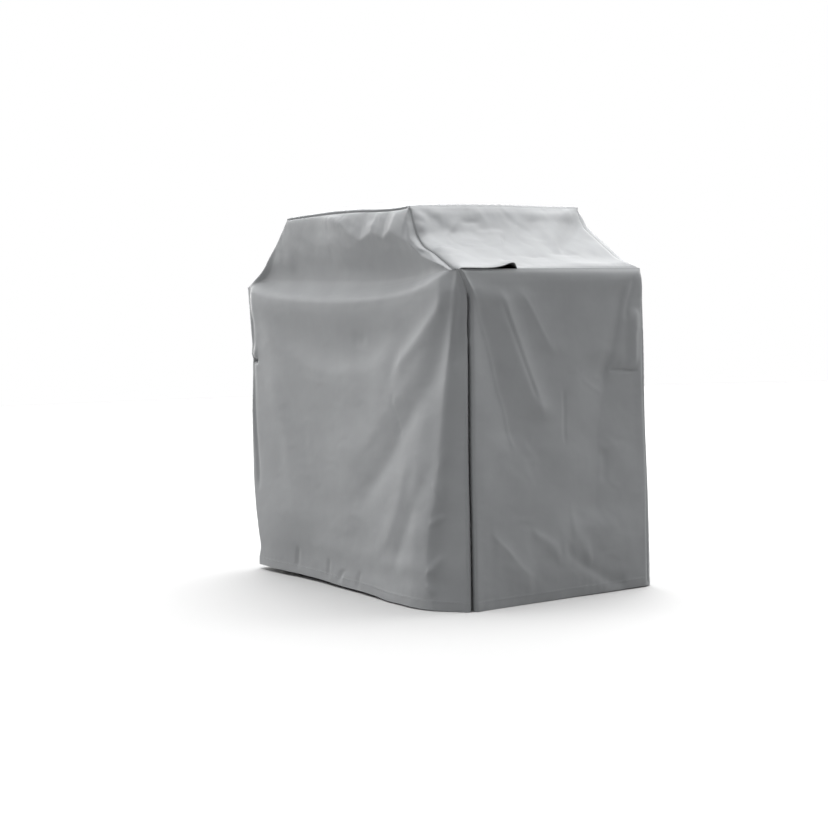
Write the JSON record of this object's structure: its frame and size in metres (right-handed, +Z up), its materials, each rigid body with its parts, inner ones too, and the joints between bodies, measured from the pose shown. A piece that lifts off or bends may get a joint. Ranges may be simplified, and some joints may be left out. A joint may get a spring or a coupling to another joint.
{
  "type": "fitted patio furniture cover with a raised middle",
  "caption": "Grey fitted outdoor cover hanging in its folds: long box body, raised middle, sloping ends and a loose vent edge at one corner.",
  "frame": {"origin": "underside of the top panel at its middle, where the covered thing carries the cover; the hem is about 1.17 m below", "axes": "+X along the length, towards the end with the loose vent edge; -Y is the long front wall; +Z up"},
  "size_m": [1.2501, 0.8047, 1.1829],
  "materials": {
    "cloth": "satin coated polyester"
  },
  "bodies": {
    "root": {"top_panel": "cloth", "front_panel": "cloth", "back_panel": "cloth", "end_wall_right": "cloth", "end_wall_left": "cloth", "end_slope_right": "cloth", "end_slope_left": "cloth"}
  },
  "joints": []
}
